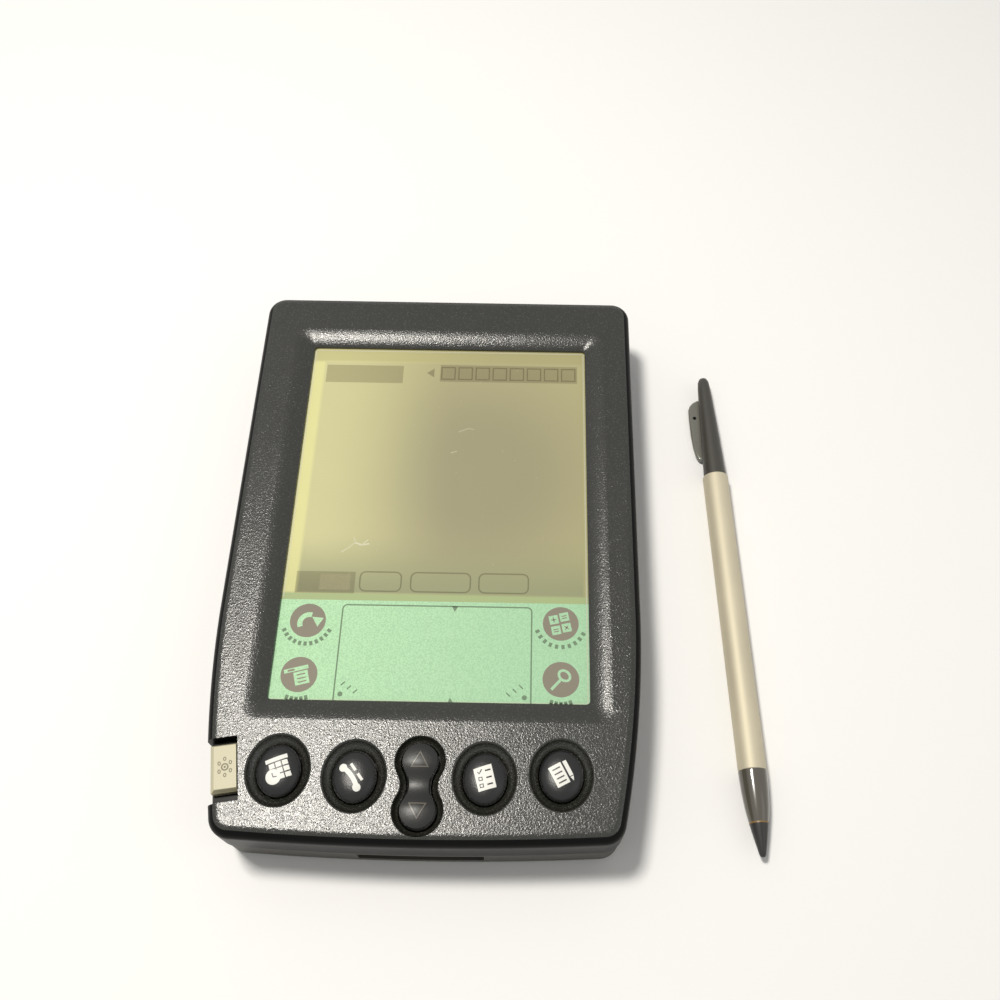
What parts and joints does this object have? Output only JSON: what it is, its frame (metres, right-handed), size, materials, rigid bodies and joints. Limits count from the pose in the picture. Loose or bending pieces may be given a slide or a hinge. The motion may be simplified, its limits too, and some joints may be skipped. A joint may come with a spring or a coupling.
{
  "type": "personal digital assistant",
  "caption": "Palm-size pen organiser with a bevelled touch screen, oval keys, a scroll rocker and its pen lying beside it.",
  "frame": {"origin": "centre of the case outline on the flat back that it rests on", "axes": "+X to the right of the screen, +Y to the top of the screen, +Z out of the screen"},
  "size_m": [0.1059, 0.1194, 0.0185],
  "materials": {
    "front_shell": "charcoal moulding with a fine pebble grain",
    "rear_shell": "dark grey moulding, finely grained",
    "key_gloss": "polished black",
    "rocker_gloss": "polished black, slightly worn",
    "power_satin": "warm grey satin",
    "touch_print": "clear film with a mint printed writing area",
    "touch_glass": "clear",
    "gasket_foam": "black closed-cell foam",
    "polarizer": "olive tinted film",
    "display": "olive liquid crystal panel",
    "backlight": "white phosphor sheet",
    "frame_plastic": "white moulding",
    "flex": "amber polyimide",
    "board": "green solder resist",
    "chip": "black epoxy",
    "socket": "ivory connector moulding",
    "membrane": "grey silicone",
    "switch": "black moulding",
    "control": "black moulding",
    "wheel": "black, knurled",
    "cell": "plain blue sleeve",
    "contact": "nickel plate",
    "screw": "zinc plate",
    "sounder": "brass disc",
    "infrared": "dark red infrared filter",
    "module": "dark epoxy",
    "dock": "black connector moulding",
    "gold": "gold plate",
    "capacitor": "plain can",
    "barrel": "champagne satin",
    "pen_black": "black, fine grain",
    "pen_grey": "dark grey gloss",
    "collar": "very dark brown gloss",
    "nib": "black",
    "pin": "bright"
  },
  "bodies": {
    "case": {"backlight_sheet": "backlight", "backup_capacitor": "capacitor", "battery_cells": "cell", "battery_contacts": "contact", "case_screws": "screw", "contrast_control": "control", "display_frame": "frame_plastic", "display_panel": "display", "display_ribbon": "flex", "display_socket": "socket", "dock_connector": "dock", "dock_contacts": "gold", "driver_chip": "chip", "front_case": "front_shell", "front_polarizer": "polarizer", "infrared_module": "module", "infrared_window": "infrared", "keypad_membrane": "membrane", "main_board": "board", "memory_board": "board", "memory_chip": "chip", "memory_header": "socket", "power_chip": "chip", "power_switch": "switch", "processor_chip": "chip", "rear_case": "rear_shell", "reset_switch": "switch", "sounder_disc": "sounder", "touch_film": "touch_print", "touch_glass": "touch_glass", "touch_tail": "flex", "window_gasket": "gasket_foam"},
    "calendar_key": {"calendar_key": "key_gloss"},
    "contacts_key": {"contacts_key": "key_gloss"},
    "tasks_key": {"tasks_key": "key_gloss"},
    "notes_key": {"notes_key": "key_gloss"},
    "scroll_rocker": {"scroll_rocker": "rocker_gloss"},
    "power_key": {"power_key": "power_satin"},
    "contrast_wheel": {"contrast_wheel": "wheel"},
    "battery_door": {"battery_door": "rear_shell"},
    "pen": {"pen_nib": "nib", "pen_collar": "collar", "pen_barrel": "barrel"},
    "pen_cap": {"pen_cap": "pen_black", "pen_clip": "pen_grey", "reset_pin": "pin"}
  },
  "joints": [
    {"name": "calendar_key_press", "type": "slide", "parent": "case", "child": "calendar_key", "axis": [0, 0, -1], "range_m": [0, 0.0008], "stiffness_N_per_m": 900},
    {"name": "contacts_key_press", "type": "slide", "parent": "case", "child": "contacts_key", "axis": [0, 0, -1], "range_m": [0, 0.0008], "stiffness_N_per_m": 900},
    {"name": "tasks_key_press", "type": "slide", "parent": "case", "child": "tasks_key", "axis": [0, 0, -1], "range_m": [0, 0.0008], "stiffness_N_per_m": 900},
    {"name": "notes_key_press", "type": "slide", "parent": "case", "child": "notes_key", "axis": [0, 0, -1], "range_m": [0, 0.0008], "stiffness_N_per_m": 900},
    {"name": "rocker_tilt", "type": "hinge", "parent": "case", "child": "scroll_rocker", "pos_m": [0, -0.0493, 0.0144], "axis": [1, 0, 0], "range_deg": [-4, 4], "stiffness_Nm_per_rad": 0.09},
    {"name": "power_press", "type": "slide", "parent": "case", "child": "power_key", "axis": [0, 0, -1], "range_m": [0, 0.0008], "stiffness_N_per_m": 900},
    {"name": "contrast_turn", "type": "hinge", "parent": "case", "child": "contrast_wheel", "pos_m": [-0.0337, 0.03, 0.0059], "axis": [0, 0, 1], "range_deg": [-135, 135]},
    {"name": "door_open", "type": "hinge", "parent": "case", "child": "battery_door", "pos_m": [0.02455, -0.0282, 0], "axis": [0, -1, 0], "range_deg": [0, 55]},
    {"name": "pen_lift", "type": "slide", "parent": "case", "child": "pen", "axis": [0, 0, 1], "range_m": [0, 0.06]},
    {"name": "cap_pull", "type": "slide", "parent": "pen", "child": "pen_cap", "axis": [-0.0373, 0.9993, 0], "range_m": [0, 0.018]}
  ]
}
